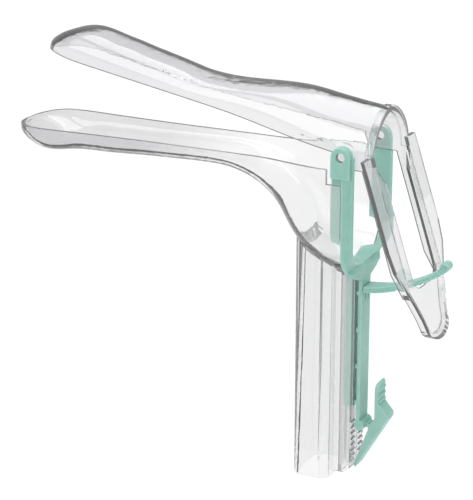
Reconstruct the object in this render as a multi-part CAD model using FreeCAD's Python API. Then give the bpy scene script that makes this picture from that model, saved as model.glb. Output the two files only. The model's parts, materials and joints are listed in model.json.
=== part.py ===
import FreeCAD, Part
import math
import os

V = FreeCAD.Vector

# Single-use bivalve speculum. Sizes in mm. The blades point along -X and the handle stands on Z = 0.
# X is counted from the pivot axis of the two blades, until the last step moves the origin below the middle.

# Heights and the angle that the blades stand open at
pivot_height = 111.0
rim_below_pivot = 4.3
open_angle = 10.9

# Turns of the stations in the rounded tips of both blades: 90 is the wide end
tip_turns = (6, 16, 32, 50, 70)

# Lower blade. The power shapes the corners of a blade's section: 2 is an ellipse, more is boxier
wall = 1.3
blade_power = 2.8
lower_reach = 122.4
lower_tip_half = 14.4
lower_waist_half = 13.1
lower_tip_depth = 7.8
lower_tip_round = 10.0
lower_tip_edge = 2.0
lower_tip_drop = 0.4
waist_back = 70.0

# Funnel behind the lower blade: its floor is an arc that bends down, then one that levels out
funnel_half = 17.2
funnel_back = 0.3
flare_front = 32.0
flare_back = 6.0
shoulder_radius = 28.0
shoulder_back = 47.0
waist_depth = 5.8
chute_angle = 65.0
chute_radius = 33.0
lug_notch_front = 4.7
lug_notch_depth = 4.7

# Handle
handle_front = 19.0
handle_depth = 13.0
handle_half = 10.2
handle_round = 4.0
handle_corner = 2.2
cavity_taper = 1.6
channel_half = 4.8
channel_foot = 1.3
lip_thickness = 0.95
tooth_pitch = 2.0
tooth_depth = 0.45
tooth_count = 9
teeth_start = 3.2

# Yoke
slide_gap = 0.25
lug_radius = 3.2
lug_thickness = 2.6
lug_drop = 6.7
arm_front = 3.4
arm_back = 3.8
arm_rear_edge = 1.4
saddle_above_rack = 9.1
saddle_inner_rise = 8.0
saddle_outer_rise = 11.5
saddle_band = 5.4
saddle_power = 1.65
saddle_slant = 6.5
saddle_lip = 1.5
bar_half = 3.5
bar_flange = 2.1
bar_plate = 1.1
bar_stand_off = 0.9
neck_half = 0.9
flange_foot = 24.4
foot_height = 18.2
foot_radius = 1.7
spacer_pitch = 12.4
spacer_height = 1.2
spacer_count = 4
pocket_depth = 0.6
pocket_height = 4.6

# Pivot
pin_radius = 1.45
pin_clearance = 0.05
ear_radius = 4.2

# Upper blade, described with its rim level
upper_reach = 114.2
upper_tip_half = 10.9
upper_waist_half = 10.3
upper_tip_depth = 11.0
upper_waist_depth = 6.9
upper_tip_round = 16.5
upper_tip_drop = 0.9
upper_waist_back = 52.0
body_front = 47.0
crown_front = 58.0
crown_back = 15.0
body_depth = 13.4
crown_rise = 0.055

# Arch and lever
arch_front = 7.2
arch_back = 9.4
collar_flare = 0.6
collar_height = 13.9
arch_power = 1.65
arch_skirt = 2.5
lever_half = 20.4
lever_top = 0.5
lever_angle = 18.0
lever_plate = 1.3
lever_waist = 84.0
tab_top = 69.0
tab_half = 8.4
tab_end = 52.2
tab_depth = 3.0
tab_rise = 4.8
tab_swell = 3.9
web_thickness = 1.3
web_depth = 4.9
window_half = 9.6
window_shoulder = 102.5
window_corner = 3.8

# Rack that holds the angle
rack_radius = 47.2
rack_thickness = 1.8
rack_root_half = 3.2
rack_end_half = 1.9
rack_end_angle = 40.4
rack_tooth_first = 16.0
rack_tooth_last = 38.0
rack_tooth_pitch = 1.8
rack_tooth_depth = 0.5
rack_stop_radius = 1.5
flex_gap = 0.2

# Latch that holds the height
latch_half = 2.8
latch_pad_front = 7.3
latch_pad_thickness = 1.3
latch_pad_top = 33.8
latch_corner_back = 11.7
latch_corner_height = 22.6
latch_tip_height = 3.1
latch_tongue = 2.3
latch_web = 1.1
grip_radius = 0.5
grip_pitch = 2.1
grip_count = 3


def smooth(value, start, end):
    """0 before start, 1 after end, an even curve between them."""
    t = min(1.0, max(0.0, (value - start) / (end - start)))
    return t * t * (3 - 2 * t)


def blend(a, b, t):
    return a + (b - a) * t


def box(x0, x1, y0, y1, z0, z1):
    return Part.makeBox(x1 - x0, y1 - y0, z1 - z0, V(x0, y0, z0))


def side_prism(points, y0, y1):
    """Solid with a side outline of (x, z) points, from y0 to y1."""
    wire = Part.makePolygon([V(x, y0, z) for x, z in points] + [V(points[0][0], y0, points[0][1])])
    return Part.Face(wire).extrude(V(0, y1 - y0, 0))


def front_prism(points, x0, x1):
    """Solid with a front outline of (y, z) points, from x0 to x1."""
    wire = Part.makePolygon([V(x0, y, z) for y, z in points] + [V(x0, points[0][0], points[0][1])])
    return Part.Face(wire).extrude(V(x1 - x0, 0, 0))


def mirrored(points):
    """Front outline from the points of its +Y half, listed from top to bottom."""
    return points + [(-y, z) for y, z in reversed(points) if y > 0]


def round_bar(x, z, radius, half):
    return Part.makeCylinder(radius, 2 * half, V(x, -half, z), V(0, 1, 0))


def tilted(shape, degrees):
    """The shape turned about the pivot axis. More degrees open the blades."""
    turned = shape.copy()
    turned.rotate(V(0, 0, pivot_height), V(0, 1, 0), degrees)
    return turned


def section(x, half, rim, shoulder, floor, power):
    """Cross-section of a trough: straight sides from the rim to the shoulder, then a curve over the floor."""
    curve = []
    for step in range(13):
        t = math.pi * step / 12
        c, s = math.cos(t), math.sin(t)
        y = -math.copysign(abs(c) ** (2 / power), c) * half
        curve.append(V(x, y, shoulder + (floor - shoulder) * abs(s) ** (2 / power)))
    bowl = Part.BSplineCurve()
    bowl.interpolate(curve)
    left, right = V(x, -half, rim), V(x, half, rim)
    edges = [Part.makeLine(left, curve[0]), bowl.toShape(), Part.makeLine(curve[-1], right)]
    return Part.Wire(edges + [Part.makeLine(right, left)])


# Lower blade, funnel and handle

rim_height = pivot_height - rim_below_pivot
chute_sine = math.sin(math.radians(chute_angle))
chute_cosine = math.cos(math.radians(chute_angle))
shoulder_centre = (-shoulder_back, rim_height - waist_depth - shoulder_radius)
chute_centre = (shoulder_centre[0] + (shoulder_radius + chute_radius) * chute_sine,
                shoulder_centre[1] + (shoulder_radius + chute_radius) * chute_cosine)


def lower_half(x):
    waist = blend(lower_tip_half, lower_waist_half, smooth(x, lower_tip_round - lower_reach, -waist_back))
    return blend(waist, funnel_half, smooth(x, -flare_front, -flare_back))


def lower_floor(x, inset):
    """Height of the floor below station x, measured inset inwards from the outside."""
    cx, cz = shoulder_centre
    bend = cx + (shoulder_radius + inset) * chute_sine
    if x < cx:
        tip = rim_height - lower_tip_depth
        level = blend(tip, cz + shoulder_radius, smooth(x, lower_tip_round - lower_reach, cx))
        return level + inset
    if x < bend:
        return cz + math.sqrt((shoulder_radius + inset) ** 2 - (x - cx) ** 2)
    return chute_centre[1] - math.sqrt((chute_radius - inset) ** 2 - (x - chute_centre[0]) ** 2)


def lower_section(x, inset, lift):
    half = lower_half(x)
    depth = rim_height - lower_floor(x, 0)
    shoulder = rim_height - max(0.2 * depth, depth - 1.1 * half)
    power = blend(blade_power, 1.35, smooth(x, -flare_front, 0))
    return section(x, half - inset, rim_height + lift, shoulder, lower_floor(x, inset), power)


def lower_tip_section(turn, inset, lift):
    """Section in the rounded tip. A turn of 90 degrees is the wide end of the tip."""
    s, c = math.sin(math.radians(turn)), math.cos(math.radians(turn))
    x = lower_tip_round - lower_reach - (lower_tip_round - inset) * c
    depth = blend(lower_tip_edge, lower_tip_depth, 1 - c)
    rim = rim_height - lower_tip_drop * (1 - s) ** 1.5
    half = (lower_tip_half - inset) * s
    return section(x, half, rim + lift, rim - 0.2 * depth, rim - depth + inset, blade_power)


def lower_trough(inset, lift, end):
    """Solid inside the blade and funnel, its sides and floor moved inwards by the inset."""
    wires = [lower_tip_section(turn, inset, lift) for turn in tip_turns]
    start, waist = lower_tip_round - lower_reach, shoulder_centre[0]
    stations = [start + (waist - start) * n / 5 for n in range(6)]
    stations += [waist + shoulder_radius * math.sin(math.radians(chute_angle * n / 6)) for n in range(1, 6)]
    bend = waist + shoulder_radius * chute_sine
    stations += [bend + (funnel_back - bend) * n / 5 for n in range(6)]
    if end > funnel_back:
        stations.append(end)
    wires += [lower_section(x, inset, lift) for x in stations]
    return Part.makeLoft(wires, True, False)


def rounded_plan(x0, x1, half, front_round, back_corner, z):
    """Plan outline of the handle: round front corners and bevelled back corners."""
    f, b = front_round, back_corner
    q = f * (1 - math.sqrt(0.5))
    edges = []
    for side in (1, -1):
        arc = Part.Arc(V(x0, side * (half - f), z), V(x0 + q, side * (half - q), z), V(x0 + f, side * half, z))
        edges.append(arc.toShape())
        edges.append(Part.makeLine(V(x0 + f, side * half, z), V(x1 - b, side * half, z)))
        edges.append(Part.makeLine(V(x1 - b, side * half, z), V(x1, side * (half - b), z)))
    edges.append(Part.makeLine(V(x0, half - f, z), V(x0, f - half, z)))
    edges.append(Part.makeLine(V(x1, half - b, z), V(x1, b - half, z)))
    return Part.Wire(Part.__sortEdges__(edges))


def handle_cavity(top):
    """Socket for the light: it narrows upwards, and a bay at the back keeps the channel's wall even."""
    x0, x1 = -handle_front + wall, -handle_front + handle_depth - wall
    half, f = handle_half - wall, handle_round - wall
    corner = handle_corner
    low = rounded_plan(x0, x1, half, f, corner, -1)
    high = rounded_plan(x0 + cavity_taper, x1, half - cavity_taper / 2, f, corner, top)
    bay_back = channel_floor() - wall
    bay_half = channel_half - wall
    return Part.makeLoft([low, high], True, True).fuse(box(x1 - 1, bay_back, -bay_half, bay_half, -1, top))


def flange_back():
    return funnel_back - lip_thickness - slide_gap


def channel_floor():
    return flange_back() - bar_flange - slide_gap


def channel_block(top):
    """Guide on the back of the handle, with its foot cut away at a slant."""
    x0, x1 = -handle_front + handle_depth - wall, funnel_back
    foot = channel_foot
    slant = [(x0, foot), (x1 - 2.8, foot), (x1, foot + 2.4), (x1, top), (x0, top)]
    return side_prism(slant, -channel_half, channel_half)


def channel_void(top):
    """Room for the flange and the neck of the slide."""
    half = bar_half + slide_gap
    flange = box(channel_floor(), funnel_back - lip_thickness, -half, half, -1, top)
    slot = neck_half + slide_gap
    return flange.fuse(box(funnel_back - lip_thickness - 0.1, funnel_back + 1, -slot, slot, -1, top))


def ratchet_grooves():
    """Saw teeth in the back faces of both lips."""
    x = funnel_back
    grooves = []
    for n in range(tooth_count):
        z = teeth_start + n * tooth_pitch
        tooth = [(x + 0.1, z), (x - tooth_depth, z + 0.3), (x + 0.1, z + tooth_pitch * 0.8)]
        grooves.append(side_prism(tooth, -channel_half - 1, channel_half + 1))
    return Part.makeCompound(grooves)


def lower_blade_and_handle():
    top = rim_height - lug_notch_depth
    plan = rounded_plan(-handle_front, handle_depth - handle_front, handle_half, handle_round, handle_corner, 0)
    grip = Part.Face(plan).extrude(V(0, 0, top)).fuse(channel_block(top)).cut(handle_cavity(top + 1))
    grip = grip.cut(lower_trough(wall / 2, 10, funnel_back + 5))
    shell = lower_trough(0, 0, funnel_back).cut(lower_trough(wall, 2, funnel_back + 3))
    notch = box(-lug_notch_front, funnel_back + 1, -funnel_half - 1, funnel_half + 1, top, rim_height + 1)
    body = shell.fuse(grip).cut(notch).cut(channel_void(top)).cut(ratchet_grooves())
    return body.removeSplitter()


# Yoke slide

def arm_inner():
    return funnel_half - lug_thickness


def saddle_height():
    return rack_root_height() + saddle_above_rack


def fork_prism(half, bottom, rise, x0, x1):
    """Solid of a fork's front outline: straight sides and a rounded bottom."""
    outline = section(x0, half, pivot_height, bottom + rise, bottom, saddle_power)
    return Part.Face(outline).extrude(V(x1 - x0, 0, 0))


def yoke_fork():
    """Both arms and the saddle. Their front half slides inside the funnel, their back half lies behind it."""
    step, saddle = funnel_back + slide_gap, saddle_height()
    inside = lower_trough(wall + slide_gap, 2, funnel_back + 3)
    inside = inside.common(box(-arm_front, step, -funnel_half, funnel_half, 0, pivot_height))
    bevel = [(step, funnel_half), (arm_back, arm_inner() + arm_rear_edge)]
    plan = bevel + [(x, -y) for x, y in reversed(bevel)]
    wire = Part.makePolygon([V(x, y, 0) for x, y in plan] + [V(plan[0][0], plan[0][1], 0)])
    slanted_back = [(step, 0), (bar_back(), 0), (bar_back(), saddle - saddle_lip), (plate_front(), saddle),
                    (arm_back, saddle + saddle_slant), (arm_back, pivot_height), (step, pivot_height)]
    behind = fork_prism(funnel_half, saddle - saddle_band, saddle_outer_rise, step, arm_back)
    behind = behind.common(Part.Face(wire).extrude(V(0, 0, pivot_height)))
    behind = behind.common(side_prism(slanted_back, -funnel_half, funnel_half))
    gap = fork_prism(arm_inner(), saddle, saddle_inner_rise, -arm_front - 1, arm_back + 1)
    return inside.fuse(behind).cut(gap)


def lug(side):
    """Round-topped lug that stands out over the wall of the funnel, with the hole for a pivot pin."""
    y0 = arm_inner() if side > 0 else -funnel_half
    low = pivot_height - lug_drop
    plate = box(-lug_radius, lug_radius, y0, y0 + lug_thickness, low, pivot_height)
    head = Part.makeCylinder(lug_radius, lug_thickness, V(0, y0, pivot_height), V(0, 1, 0))
    return plate.fuse(head)


def slide_bar():
    """Flange in the channel, neck through its slot, plate behind it and the rounded foot."""
    top = saddle_height() - saddle_lip
    back = flange_back()
    bar = box(back - bar_flange, back, -bar_half, bar_half, flange_foot, top)
    bar = bar.fuse(box(back - 0.1, plate_front() + 0.1, -neck_half, neck_half, flange_foot, top))
    bar = bar.fuse(box(plate_front(), bar_back(), -bar_half, bar_half, foot_height, top))
    bar = bar.fuse(round_bar(foot_centre(), foot_height, foot_radius, bar_half))
    for n in range(spacer_count):
        z = flange_foot + spacer_height + n * spacer_pitch
        rib = box(funnel_back + slide_gap, plate_front() + 0.1, -bar_half, bar_half, z, z + spacer_height)
        bar = bar.fuse(rib)
    return bar


def plate_front():
    return funnel_back + bar_stand_off


def bar_back():
    return plate_front() + bar_plate


def foot_centre():
    return funnel_back + slide_gap + foot_radius


def rack_root_height():
    return pivot_height - math.sqrt(rack_radius ** 2 - bar_back() ** 2)


def root_pocket():
    """Hollow below the root of the rack, split by a thin rib."""
    top = rack_root_height() - flex_gap
    back = bar_back()
    slant = [(back + 0.1, top), (back - pocket_depth, top), (back + 0.1, top - pocket_height)]
    half = bar_half - 0.9
    rib = 0.35
    return side_prism(slant, -half, 0.6 - rib).fuse(side_prism(slant, 0.6 + rib, half))


def latch_root():
    """Thin web that carries the latch, and the height of its flexing line."""
    x0 = foot_centre()
    x1 = x0 + foot_radius + 1.0
    return x0, x1, foot_height


def yoke_slide():
    body = yoke_fork().fuse(lug(1)).fuse(lug(-1)).fuse(slide_bar())
    x0, x1, z = latch_root()
    half = latch_half - 0.8
    body = body.fuse(box(x0, x1, -half, half, z - latch_web / 2, z + latch_web / 2))
    hole = pin_radius + pin_clearance
    body = body.cut(round_bar(0, pivot_height, hole, funnel_half + 1)).cut(root_pocket())
    return body.removeSplitter()


# Rack

def rack_point(radius, degrees):
    """Point in side view at a radius from the pivot, counted from straight down towards the back."""
    a = math.radians(degrees)
    return radius * math.sin(a), pivot_height - radius * math.cos(a)


def angle_rack():
    inner = rack_radius - rack_thickness
    root = math.degrees(math.asin((bar_back() + flex_gap) / rack_radius))
    top_root = math.degrees(math.asin((bar_back() + flex_gap) / inner))
    under = [rack_point(rack_radius, blend(root, rack_tooth_first, n / 6)) for n in range(7)]
    step = math.degrees(rack_tooth_pitch / rack_radius)
    angle = rack_tooth_first
    while angle + step < rack_tooth_last:
        under.append(rack_point(rack_radius - rack_tooth_depth, angle + 0.1 * step))
        angle += step
        under.append(rack_point(rack_radius, angle))
    under.append(rack_point(rack_radius, rack_end_angle - 1))
    over = [rack_point(inner, blend(rack_end_angle, top_root, n / 18)) for n in range(19)]
    arm = side_prism(under + over, -rack_root_half, rack_root_half)
    end_x, end_z = rack_point(rack_radius - rack_stop_radius, rack_end_angle - 1)
    leaf_end = 0.45 * end_x
    leaf = [(bar_back(), bar_half), (leaf_end / 2, rack_root_half), (leaf_end, rack_end_half * 1.15)]
    leaf += [(end_x + 5, rack_end_half)]
    plan = leaf + [(x, -y) for x, y in reversed(leaf)]
    wire = Part.makePolygon([V(x, y, 0) for x, y in plan] + [V(plan[0][0], plan[0][1], 0)])
    arm = arm.common(Part.Face(wire).extrude(V(0, 0, pivot_height)))
    return arm.fuse(round_bar(end_x, end_z, rack_stop_radius, rack_end_half)).removeSplitter()


# Latch

def release_latch():
    """Thumb pad above the flexing line and a sprung tongue down to the teeth of the handle."""
    x0, x1, z = latch_root()
    x0 = x1 + flex_gap
    tip, low = funnel_back + slide_gap, latch_tip_height
    front, back, top = latch_pad_front, latch_pad_front + latch_pad_thickness, latch_pad_top
    corner, height = latch_corner_back, latch_corner_height
    slope = (corner - tip - 0.4) / (height - 1 - low)
    inner_z = z - latch_web
    inner_x = tip + 0.4 + slope * (inner_z - low) - latch_tongue * math.sqrt(1 + slope ** 2)
    outline = [(x0, z - latch_web / 2), (x0, z + latch_web / 2), (front - 1, z + latch_web + 0.4),
               (front, z + 2.8), (front, top - 1), (front + 0.4, top - 0.2), (back - 0.4, top),
               (back, top - 0.7),
               (back, height + 4), (corner, height + 0.4), (corner, height - 1), (tip + 0.4, low),
               (tip, low + 0.4), (tip, low + 1.6), (min(inner_x, x0), inner_z)]
    body = side_prism(outline, -latch_half, latch_half)
    thumb_end = section(x0, latch_half, 0, top - latch_half, top, 2)
    foot = box(-1, x0, -latch_half, latch_half, 0, z + 2)
    body = body.common(Part.Face(thumb_end).extrude(V(corner, 0, 0)).fuse(foot))
    for n in range(grip_count):
        body = body.fuse(round_bar(back, height + 4.6 + n * grip_pitch, grip_radius, latch_half - 0.3))
    return body.removeSplitter()


# Upper blade, arch and lever

def upper_half(x):
    waist = blend(upper_tip_half, upper_waist_half, smooth(x, upper_tip_round - upper_reach, -upper_waist_back))
    return blend(waist, arm_inner() - slide_gap, smooth(x, -body_front, -8))


def upper_crown(x):
    """Height of the crown above the rim: low along the blade, then up to the body."""
    blade = blend(upper_tip_depth, upper_waist_depth, min(1, (x + upper_reach) / (upper_reach - crown_front)))
    return blend(blade, body_depth, smooth(x, -crown_front, -crown_back)) + max(0, x + crown_back) * crown_rise


def upper_section(x, inset, lift):
    half, crown = upper_half(x), upper_crown(x)
    power = blend(blade_power, arch_power, smooth(x, -body_front, 0))
    rim = pivot_height
    return section(x, half - inset, rim - lift, rim + 0.15 * crown, rim + crown - inset, power)


def upper_tip_section(turn, inset, lift):
    s, c = math.sin(math.radians(turn)), math.cos(math.radians(turn))
    x = upper_tip_round - upper_reach - (upper_tip_round - inset) * c
    crown = blend(1.6 * wall, upper_crown(upper_tip_round - upper_reach), s * s)
    rim = pivot_height - upper_tip_drop * (1 - s) ** 1.5
    half = (upper_tip_half - inset) * s
    return section(x, half, rim - lift, rim + 0.15 * crown, rim + crown - inset, blade_power)


def upper_trough(inset, lift, end):
    """Solid inside the upper blade and its body, with the rim level."""
    wires = [upper_tip_section(turn, inset, lift) for turn in tip_turns]
    start = upper_tip_round - upper_reach
    stations = [start + (-crown_front - start) * n / 5 for n in range(5)]
    stations += [-crown_front + (crown_front + end) * n / 16 for n in range(17)]
    wires += [upper_section(x, inset, lift) for x in stations]
    return Part.makeLoft(wires, True, False)


def arch_prism(inset, x0, x1):
    """Solid of the arch's front outline: the body's end and its collar."""
    half = arm_inner() - slide_gap + collar_flare - inset
    low, top = pivot_height - arch_skirt, pivot_height + collar_height - inset
    outline = section(x0, half, low, pivot_height, top, arch_power)
    return Part.Face(outline).extrude(V(x1 - x0, 0, 0))


def lever_rear(z):
    """X of the back face of the lever at a height."""
    return arch_back + (pivot_height + lever_top - z) * math.tan(math.radians(lever_angle))


def lever_layer(front, back, low, high):
    """Layer of the lever between two distances in front of its back face, and between two heights."""
    far = 2 * lever_half
    points = [(lever_rear(high) - back, high), (lever_rear(low) - back, low),
              (lever_rear(low) - front, low), (lever_rear(high) - front, high)]
    return side_prism(points, -far, far)


def lever_outline(inset):
    """Front outline of the lever: straight sides that narrow to a rounded thumb tab."""
    neck = lever_waist - tab_top
    half = [(lever_half, pivot_height + lever_top), (lever_half, lever_waist),
            (lever_half - 0.1 * (lever_half - tab_half), lever_waist - 0.44 * neck),
            (lever_half - 0.4 * (lever_half - tab_half), lever_waist - 0.83 * neck),
            (tab_half + tab_swell, tab_top - 0.2 * neck), (tab_half + 0.3 * tab_swell, tab_top - 0.57 * neck)]
    half = [(y - inset, z) for y, z in half]
    for step in range(7):
        t = math.radians(15 * step)
        low = tab_end + inset + (tab_rise - inset) * (1 - math.sin(t))
        half.append(((tab_half - inset) * math.cos(t), low))
    half[-1] = (0, half[-1][1])
    return mirrored(half)


def lever():
    """Loop lever: a plate with wide flanges, two webs in front of it and a tray for the thumb."""
    top = pivot_height + lever_top
    half = arm_inner() - slide_gap
    outline = front_prism(lever_outline(0), 0, 3 * lever_half)
    plate = lever_layer(lever_plate, 0, tab_end - 1, top).common(outline)
    taper, end = tab_top + 6, tab_top - 1
    webs = side_prism([(lever_rear(top) - web_depth, top), (lever_rear(taper) - web_depth, taper),
                       (lever_rear(end) - tab_depth, end), (lever_rear(end) - lever_plate / 2, end),
                       (lever_rear(top) - lever_plate / 2, top)], -half, half)
    webs = webs.cut(box(0, web_depth + 60, web_thickness - half, half - web_thickness, 0, top + 2))
    rim = lever_layer(tab_depth, lever_plate / 2, tab_end - 1, tab_top + 2).common(outline)
    rim = rim.cut(front_prism(lever_outline(web_thickness), 0, 3 * lever_half))
    return plate.fuse(webs).fuse(rim)


def window_foot():
    """Height where the back face of the lever meets the circle that the rack's teeth lie on."""
    slope = math.tan(math.radians(lever_angle))
    start = arch_back + lever_top * slope
    catch = rack_radius + slide_gap
    a, b, c = 1 + slope ** 2, 2 * start * slope, start ** 2 - catch ** 2
    return pivot_height - (math.sqrt(b ** 2 - 4 * a * c) - b) / (2 * a)


def lever_window():
    """Opening from the arch down to the bar that the rack rests on."""
    catch = rack_radius + slide_gap
    wide = arm_inner() - slide_gap - web_thickness
    foot, r = window_foot(), window_corner
    side = [(wide, pivot_height), (wide, window_shoulder + 5), (window_half, window_shoulder)]
    for step in range(6):
        t = math.radians(18 * step)
        side.append((window_half - r * (1 - math.cos(t)), foot + r * (1 - math.sin(t))))
    side += [(window_half - r, pivot_height - catch), (0, pivot_height - catch)]
    disc = Part.makeCylinder(catch, 2 * wide, V(0, -wide, pivot_height), V(0, 1, 0))
    return disc.common(front_prism(mirrored(side), 0, catch))


def ear(side):
    """Disc inside the lug, with the pivot pin that stands out from it."""
    outer = arm_inner() - slide_gap
    y0 = outer - web_thickness if side > 0 else -outer
    disc = Part.makeCylinder(ear_radius, web_thickness, V(0, y0, pivot_height), V(0, 1, 0))
    strap = box(0, arch_front + 1, y0, y0 + web_thickness, pivot_height - ear_radius, pivot_height + 1)
    pin_y = outer - 0.2 if side > 0 else -funnel_half + 0.2
    pin = Part.makeCylinder(pin_radius, lug_thickness + slide_gap, V(0, pin_y, pivot_height), V(0, 1, 0))
    return disc.fuse(strap).fuse(pin)


def upper_blade_and_lever():
    outer = tilted(upper_trough(0, 0, arch_back + 6), open_angle)
    inner = tilted(upper_trough(wall, 8, arch_back + 8), open_angle)
    rear = box(arch_back, arch_back + 40, -60, 60, 0, pivot_height + 60)
    collar = arch_prism(0, arch_front, arch_back)
    body = outer.cut(rear).cut(inner).fuse(collar)
    body = body.fuse(ear(1)).fuse(ear(-1)).fuse(lever())
    throat = arch_prism(collar_flare + wall, arch_front - 0.5, arch_back + 5)
    return body.cut(throat).cut(lever_window()).removeSplitter()


parts = {
    "lower_blade_and_handle": lower_blade_and_handle(),
    "yoke_slide": yoke_slide(),
    "upper_blade_and_lever": upper_blade_and_lever(),
    "angle_rack": angle_rack(),
    "release_latch": release_latch(),
}

# The origin goes to the middle of the bottom of the whole object
whole = Part.makeCompound(list(parts.values())).optimalBoundingBox(False, False)
shift = V(-(whole.XMin + whole.XMax) / 2, 0, 0)
os.makedirs("parts", exist_ok=True)
for name, shape in parts.items():
    solid = shape.copy()
    solid.translate(shift)
    size = solid.BoundBox
    print(name, "valid", solid.isValid(), "solids", len(solid.Solids), "volume", round(solid.Volume, 1),
          "x", round(size.XMin, 2), round(size.XMax, 2), "y", round(size.YMin, 2), round(size.YMax, 2),
          "z", round(size.ZMin, 2), round(size.ZMax, 2))
    solid.exportStep("parts/" + name + ".step")
print("pivot at x", round(shift.x, 4), "z", pivot_height)
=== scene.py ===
import math
import json

import bpy
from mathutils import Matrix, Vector


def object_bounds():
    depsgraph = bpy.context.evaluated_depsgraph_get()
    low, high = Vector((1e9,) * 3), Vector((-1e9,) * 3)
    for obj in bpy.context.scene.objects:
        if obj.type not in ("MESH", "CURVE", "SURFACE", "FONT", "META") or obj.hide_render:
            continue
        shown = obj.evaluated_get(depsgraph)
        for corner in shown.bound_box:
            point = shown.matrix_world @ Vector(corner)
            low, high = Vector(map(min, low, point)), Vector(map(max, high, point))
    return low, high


# Single-use bivalve speculum: two clear mouldings and a mint one, photographed on white.
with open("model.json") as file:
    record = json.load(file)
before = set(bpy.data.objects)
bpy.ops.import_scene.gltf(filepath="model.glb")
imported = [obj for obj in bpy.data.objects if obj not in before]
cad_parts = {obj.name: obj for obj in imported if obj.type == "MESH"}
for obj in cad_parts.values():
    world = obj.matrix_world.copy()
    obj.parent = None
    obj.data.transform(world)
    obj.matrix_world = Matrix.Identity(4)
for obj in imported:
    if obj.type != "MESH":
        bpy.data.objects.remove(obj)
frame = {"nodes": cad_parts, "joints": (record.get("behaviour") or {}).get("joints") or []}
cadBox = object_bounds()
print("frame loaded:", ", ".join(sorted(frame["nodes"])))

mm = 0.001
joints = {joint["name"]: joint for joint in frame["joints"]}
pivot = Vector(joints["blade_tilt"]["pos_m"])


def linearColour(hexText):
    channels = [int(hexText[i:i + 2], 16) / 255 for i in (1, 3, 5)]
    linear = [c / 12.92 if c <= 0.04045 else ((c + 0.055) / 1.055) ** 2.4 for c in channels]
    return (*linear, 1.0)


def addNode(tree, kind, place, settings=None, links=None):
    # settings with a socket's name or number set its value, others set the node's own option
    node = tree.nodes.new(kind)
    node.location = place
    for name, value in (settings or {}).items():
        if isinstance(name, int) or name in node.inputs:
            node.inputs[name].default_value = value
        else:
            setattr(node, name, value)
    for name, source in (links or {}).items():
        tree.links.new(source, node.inputs[name])
    return node


def newMaterial(name):
    material = bpy.data.materials.new(name)
    material.use_nodes = True
    material.node_tree.nodes.clear()
    return material, material.node_tree


def stopColour(value):
    # a stop is a hex colour or a plain share from 0 to 1
    return linearColour(value) if isinstance(value, str) else (value, value, value, 1.0)


def setRamp(node, stops):
    ramp = node.color_ramp
    while len(ramp.elements) > 1:
        ramp.elements.remove(ramp.elements[-1])
    ramp.elements[0].position = stops[0][0]
    ramp.elements[0].color = stopColour(stops[0][1])
    for position, colour in stops[1:]:
        ramp.elements.new(position).color = stopColour(colour)


# Moulded clear polystyrene: water-clear and glossy, it bends what lies behind it. On the inside of a wall met
# at a slant, a painted dark reflection (a near-black see-through layer, in place of a dark room mirrored
# there) draws a soft dark line along every curved edge.
clearPlastic = {
    "ior": 1.59,
    "roughness": 0.02,
    "toneFromMm": 4.0,
    "toneToMm": -30.0,
    "paintedEdgeColour": "#141516",
    "shadowColour": "#f8f8f8",
    "smokeColour": "#bcbcbe",
    "smokePerMetre": 45.0,
    "flowMm": 9.0,
    "flowHeightMm": 0.02,
    "flowDetail": 1.0,
    "flowRoughness": 0.4,
    "flowStrength": 0.25,
}


# The lower moulding is a little milky. The upper one is clearer, yet tinted greyer with wider dark edge
# lines: painted shade for the light its narrow ribs pipe away.
# Tints and painted dark-edge shares run from a wall seen square on (0) to one seen edge on (1); the tints
# grey towards edge on, a painted shade along the edges.
lowerMoulding = {
    "name": "milkyClearPolystyrene",
    "haze": 0.1,
    "tintsWithPaintedEdgeShade": [(0.0, "#fbfbfb"), (0.7, "#fafafa"), (0.9, "#ededee"), (1.0, "#d8d8da")],
    "bladeTone": "#e8e8e9",
    "paintedEdgeShares": [(0.0, 0.0), (0.205, 0.0), (0.222, 1.0), (0.275, 1.0), (0.31, 0.0), (0.45, 0.0),
                   (0.6, 0.25)],
}
upperMoulding = {
    "name": "brightClearPolystyrene",
    "haze": 0.1,
    "tintsWithPaintedEdgeShade": [(0.0, "#f0f0f1"), (0.7, "#efeff0"), (0.9, "#e4e4e6"), (1.0, "#cfcfd1")],
    "bladeTone": "#f8f8f9",
    "paintedEdgeShares": [(0.0, 0.0), (0.205, 0.0), (0.222, 1.0), (0.275, 1.0), (0.31, 0.0), (0.42, 0.0), (0.5, 0.5),
                   (0.8, 0.9)],
}


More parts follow.
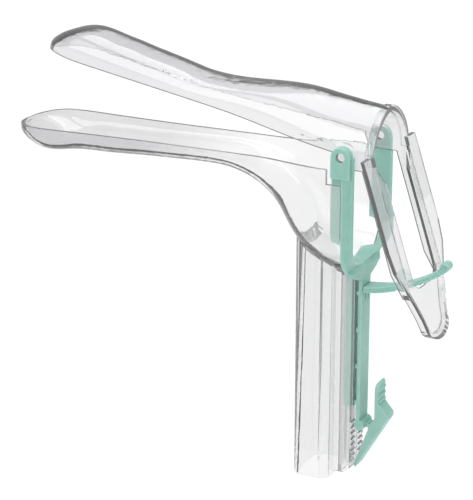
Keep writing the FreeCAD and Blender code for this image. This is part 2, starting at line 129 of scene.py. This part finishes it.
def makeClearPlastic(moulding):
    p = {**clearPlastic, **moulding}
    material, tree = newMaterial(p["name"])
    out = addNode(tree, "ShaderNodeOutputMaterial", (1500, 0))
    place = addNode(tree, "ShaderNodeTexCoord", (-900, 0))
    # the melt leaves a very shallow waviness in the faces
    flow = addNode(tree, "ShaderNodeTexNoise", (-600, -300),
                   {"Scale": 1 / (p["flowMm"] * mm), "Detail": p["flowDetail"],
                    "Roughness": p["flowRoughness"]},
                   {"Vector": place.outputs["Object"]})
    bump = addNode(tree, "ShaderNodeBump", (-300, -300),
                   {"Strength": p["flowStrength"], "Distance": p["flowHeightMm"] * mm},
                   {"Height": flow.outputs["Fac"]})
    facing = addNode(tree, "ShaderNodeLayerWeight", (-600, 200), {"Blend": 0.5})
    # base colour: the plastic's own faint tint, greying towards edge on as painted shade along the edges
    tintWithPaintedEdgeShade = addNode(tree, "ShaderNodeValToRGB", (-300, 200), {}, {"Fac": facing.outputs["Facing"]})
    setRamp(tintWithPaintedEdgeShade, p["tintsWithPaintedEdgeShade"])
    # the blades are tinted a shade greyer than the rest, fading in along X
    spot = addNode(tree, "ShaderNodeSeparateXYZ", (-600, 0), {}, {"Vector": place.outputs["Object"]})
    high = addNode(tree, "ShaderNodeMapRange", (-300, 0),
                   {"From Min": p["toneFromMm"] * mm, "From Max": p["toneToMm"] * mm},
                   {"Value": spot.outputs["X"]})
    tone = addNode(tree, "ShaderNodeMixRGB", (0, 100),
                   {"blend_type": "MULTIPLY", "Color2": linearColour(p["bladeTone"])},
                   {"Fac": high.outputs["Result"], "Color1": tintWithPaintedEdgeShade.outputs["Color"]})
    shader = addNode(tree, "ShaderNodeBsdfPrincipled", (300, 100),
                     {"Roughness": p["roughness"], "IOR": p["ior"], "Transmission Weight": 1 - p["haze"]},
                     {"Base Color": tone.outputs["Color"], "Normal": bump.outputs["Normal"]})
    # painted dark reflection: how much near-black see-through layer the inside of a wall gets, by how slanted
    # the wall is seen
    slant = addNode(tree, "ShaderNodeValToRGB", (-300, 500), {}, {"Fac": facing.outputs["Facing"]})
    setRamp(slant, p["paintedEdgeShares"])
    side = addNode(tree, "ShaderNodeNewGeometry", (0, 700))
    edge = addNode(tree, "ShaderNodeMath", (300, 500), {"operation": "MULTIPLY"},
                   {0: slant.outputs["Color"], 1: side.outputs["Backfacing"]})
    paintedDarkReflection = addNode(tree, "ShaderNodeBsdfTransparent", (300, 300),
                       {"Color": linearColour(p["paintedEdgeColour"])})
    lined = addNode(tree, "ShaderNodeMixShader", (700, 200), {},
                    {0: edge.outputs[0], 1: shader.outputs["BSDF"], 2: paintedDarkReflection.outputs["BSDF"]})
    # light reaches what stands behind and inside the clear walls
    path = addNode(tree, "ShaderNodeLightPath", (700, 600))
    passing = addNode(tree, "ShaderNodeMath", (900, 500), {"operation": "MAXIMUM"},
                      {0: path.outputs["Is Shadow Ray"], 1: path.outputs["Is Diffuse Ray"]})
    thin = addNode(tree, "ShaderNodeBsdfTransparent", (900, 0), {"Color": linearColour(p["shadowColour"])})
    both = addNode(tree, "ShaderNodeMixShader", (1200, 200), {},
                   {0: passing.outputs[0], 1: lined.outputs["Shader"], 2: thin.outputs["BSDF"]})
    smoke = addNode(tree, "ShaderNodeVolumeAbsorption", (1200, -400),
                    {"Color": linearColour(p["smokeColour"]), "Density": p["smokePerMetre"]})
    tree.links.new(both.outputs["Shader"], out.inputs["Surface"])
    tree.links.new(smoke.outputs["Volume"], out.inputs["Volume"])
    return material


# Moulded mint acetal: opaque and waxy, a soft sheen, thin edges a little paler than the body.
mintPlastic = {
    "ior": 1.48,
    "roughness": 0.38,
    "colour": "#9fcabf",
    "deep": "#96c4b8",
    "glow": (0.85, 1.0, 0.98),
    "glowDepthMm": 1.6,
    "glowShare": 0.85,
    "mottleMm": 3.0,
    "mottleFrom": 0.3,
    "mottleTo": 0.7,
    "grainMm": 0.35,
    "grainHeightMm": 0.01,
    "grainStrength": 0.2,
    "noiseDetail": 2.0,
    "edgeRadiusMm": 0.35,
    "edgeSamples": 4,
}


def makeMintPlastic():
    p = mintPlastic
    material, tree = newMaterial("mouldedMintAcetal")
    out = addNode(tree, "ShaderNodeOutputMaterial", (900, 0))
    place = addNode(tree, "ShaderNodeTexCoord", (-900, 0))
    mottle = addNode(tree, "ShaderNodeTexNoise", (-600, 200),
                     {"Scale": 1 / (p["mottleMm"] * mm), "Detail": p["noiseDetail"]},
                     {"Vector": place.outputs["Object"]})
    colour = addNode(tree, "ShaderNodeValToRGB", (-300, 200), {}, {"Fac": mottle.outputs["Fac"]})
    setRamp(colour, [(p["mottleFrom"], p["deep"]), (p["mottleTo"], p["colour"])])
    grain = addNode(tree, "ShaderNodeTexNoise", (-600, -200),
                    {"Scale": 1 / (p["grainMm"] * mm), "Detail": p["noiseDetail"]},
                    {"Vector": place.outputs["Object"]})
    # the mould leaves every edge a little round
    soft = addNode(tree, "ShaderNodeBevel", (-600, -450),
                   {"samples": p["edgeSamples"], "Radius": p["edgeRadiusMm"] * mm})
    bump = addNode(tree, "ShaderNodeBump", (-300, -200),
                   {"Strength": p["grainStrength"], "Distance": p["grainHeightMm"] * mm},
                   {"Height": grain.outputs["Fac"], "Normal": soft.outputs["Normal"]})
    shader = addNode(tree, "ShaderNodeBsdfPrincipled", (300, 0),
                     {"Roughness": p["roughness"], "IOR": p["ior"], "Subsurface Weight": p["glowShare"],
                      "Subsurface Radius": p["glow"], "Subsurface Scale": p["glowDepthMm"] * mm},
                     {"Base Color": colour.outputs["Color"], "Normal": bump.outputs["Normal"]})
    tree.links.new(shader.outputs["BSDF"], out.inputs["Surface"])
    return material


def dress(node, material):
    mesh = frame["nodes"][node].data
    mesh.materials.clear()
    mesh.materials.append(material)


mint = makeMintPlastic()
dress("lower_blade_and_handle", makeClearPlastic(lowerMoulding))
dress("upper_blade_and_lever", makeClearPlastic(upperMoulding))
for node in ("yoke_slide", "angle_rack", "release_latch"):
    dress(node, mint)
print("mouldings dressed")

# White paper floor, which looks plain white to the camera and through the clear plastic
studio = {
    "floorHalf": 3.0,
    "paper": "#f2f2f2",
    "paperGlow": 0.9,
    "paperGain": 1.05,
    "paperMirrored": 1.0,
    "worldColour": "#ffffff",
    "worldDiffuse": 0.47,
    "skyMirrored": 0.0,
}


def whiteForEye(tree, place, mirrored):
    # 1 for rays that show the floor or the sky as it is: straight, through the plastic or mirrored
    x, y = place
    path = addNode(tree, "ShaderNodeLightPath", (x, y))
    mirror = addNode(tree, "ShaderNodeMath", (x + 200, y - 200), {"operation": "MULTIPLY", 1: mirrored},
                     {0: path.outputs["Is Glossy Ray"]})
    first = addNode(tree, "ShaderNodeMath", (x + 200, y), {"operation": "MAXIMUM"},
                    {0: path.outputs["Is Camera Ray"], 1: mirror.outputs[0]})
    return addNode(tree, "ShaderNodeMath", (x + 400, y), {"operation": "MAXIMUM"},
                   {0: first.outputs[0], 1: path.outputs["Is Transmission Ray"]}).outputs[0]


def makePaper():
    material, tree = newMaterial("whitePaper")
    out = addNode(tree, "ShaderNodeOutputMaterial", (900, 0))
    eye = whiteForEye(tree, (-600, -200), studio["paperMirrored"])
    share = addNode(tree, "ShaderNodeMath", (0, 200), {"operation": "MULTIPLY", 1: studio["paperGlow"]},
                    {0: eye})
    paper = addNode(tree, "ShaderNodeBsdfDiffuse", (0, 0), {"Color": linearColour(studio["paper"])})
    white = addNode(tree, "ShaderNodeEmission", (0, -200), {"Strength": studio["paperGain"]})
    sheet = addNode(tree, "ShaderNodeMixShader", (500, 0), {},
                    {0: share.outputs[0], 1: paper.outputs["BSDF"], 2: white.outputs["Emission"]})
    tree.links.new(sheet.outputs["Shader"], out.inputs["Surface"])
    return material


def makeFloor():
    half = studio["floorHalf"]
    mesh = bpy.data.meshes.new("floor")
    corners = [(-half, -half, 0), (half, -half, 0), (half, half, 0), (-half, half, 0)]
    mesh.from_pydata(corners, [], [(0, 1, 2, 3)])
    floor = bpy.data.objects.new("floor", mesh)
    floor.data.materials.append(makePaper())
    bpy.context.scene.collection.objects.link(floor)


def makeWorld():
    world = bpy.data.worlds.new("whiteRoom")
    world.use_nodes = True
    tree = world.node_tree
    tree.nodes.clear()
    out = addNode(tree, "ShaderNodeOutputWorld", (900, 0))
    eye = whiteForEye(tree, (-600, -200), studio["skyMirrored"])
    span = 1 - studio["worldDiffuse"]
    level = addNode(tree, "ShaderNodeMath", (0, -200),
                    {"operation": "MULTIPLY_ADD", 1: span, 2: studio["worldDiffuse"]}, {0: eye})
    sky = addNode(tree, "ShaderNodeBackground", (300, 0), {"Color": linearColour(studio["worldColour"])},
                  {"Strength": level.outputs[0]})
    tree.links.new(sky.outputs["Background"], out.inputs["Surface"])
    bpy.context.scene.world = world


# Soft boxes: place and aim in metres from the middle of the object
softBoxes = {
    "keyFromLeft": {"place": (-0.5, -1.0, 0.8), "size": 1.3, "watts": 8.0},
    "fillFromRight": {"place": (1.0, -0.4, 0.6), "size": 0.8, "watts": 1.5},
    "topLight": {"place": (0.15, 0.3, 1.4), "size": 1.5, "watts": 14.0},
}


def makeLights(middle):
    for name, values in softBoxes.items():
        light = bpy.data.lights.new(name, "AREA")
        light.shape = "SQUARE"
        light.size = values["size"]
        light.energy = values["watts"]
        lamp = bpy.data.objects.new(name, light)
        lamp.location = middle + Vector(values["place"])
        lamp.rotation_euler = (middle - lamp.location).to_track_quat("-Z", "Y").to_euler()
        bpy.context.scene.collection.objects.link(lamp)


# The photograph's camera: aimed a little in front of the pivot, from the front right, looking down
photoCamera = {
    "aimFromPivotMm": -43.925,
    "aimHeightMm": 70.2,
    "azimuth": 27.0,
    "elevation": 18.2,
    "distanceMm": 621.0,
    "focalPixels": 1897.5,
    "longSidePixels": 500,
    "sensorMm": 36.0,
    "nearMetres": 0.01,
    "farMetres": 50.0,
}


def makeCamera():
    p = photoCamera
    azimuth, elevation = math.radians(p["azimuth"]), math.radians(p["elevation"])
    back = Vector((math.sin(azimuth) * math.cos(elevation), -math.cos(azimuth) * math.cos(elevation),
                   math.sin(elevation)))
    aim = Vector((pivot.x + p["aimFromPivotMm"] * mm, 0, p["aimHeightMm"] * mm))
    data = bpy.data.cameras.new("photoCamera")
    data.sensor_width = p["sensorMm"]
    data.lens = p["focalPixels"] / p["longSidePixels"] * p["sensorMm"]
    data.clip_start, data.clip_end = p["nearMetres"], p["farMetres"]
    camera = bpy.data.objects.new("photoCamera", data)
    camera.location = aim + back * p["distanceMm"] * mm
    camera.rotation_euler = (-back).to_track_quat("-Z", "Y").to_euler()
    bpy.context.scene.collection.objects.link(camera)
    bpy.context.scene.camera = camera


makeFloor()
makeWorld()
makeLights((cadBox[0] + cadBox[1]) / 2)
makeCamera()
bpy.context.scene.view_settings.view_transform = "Standard"
print("studio set up")
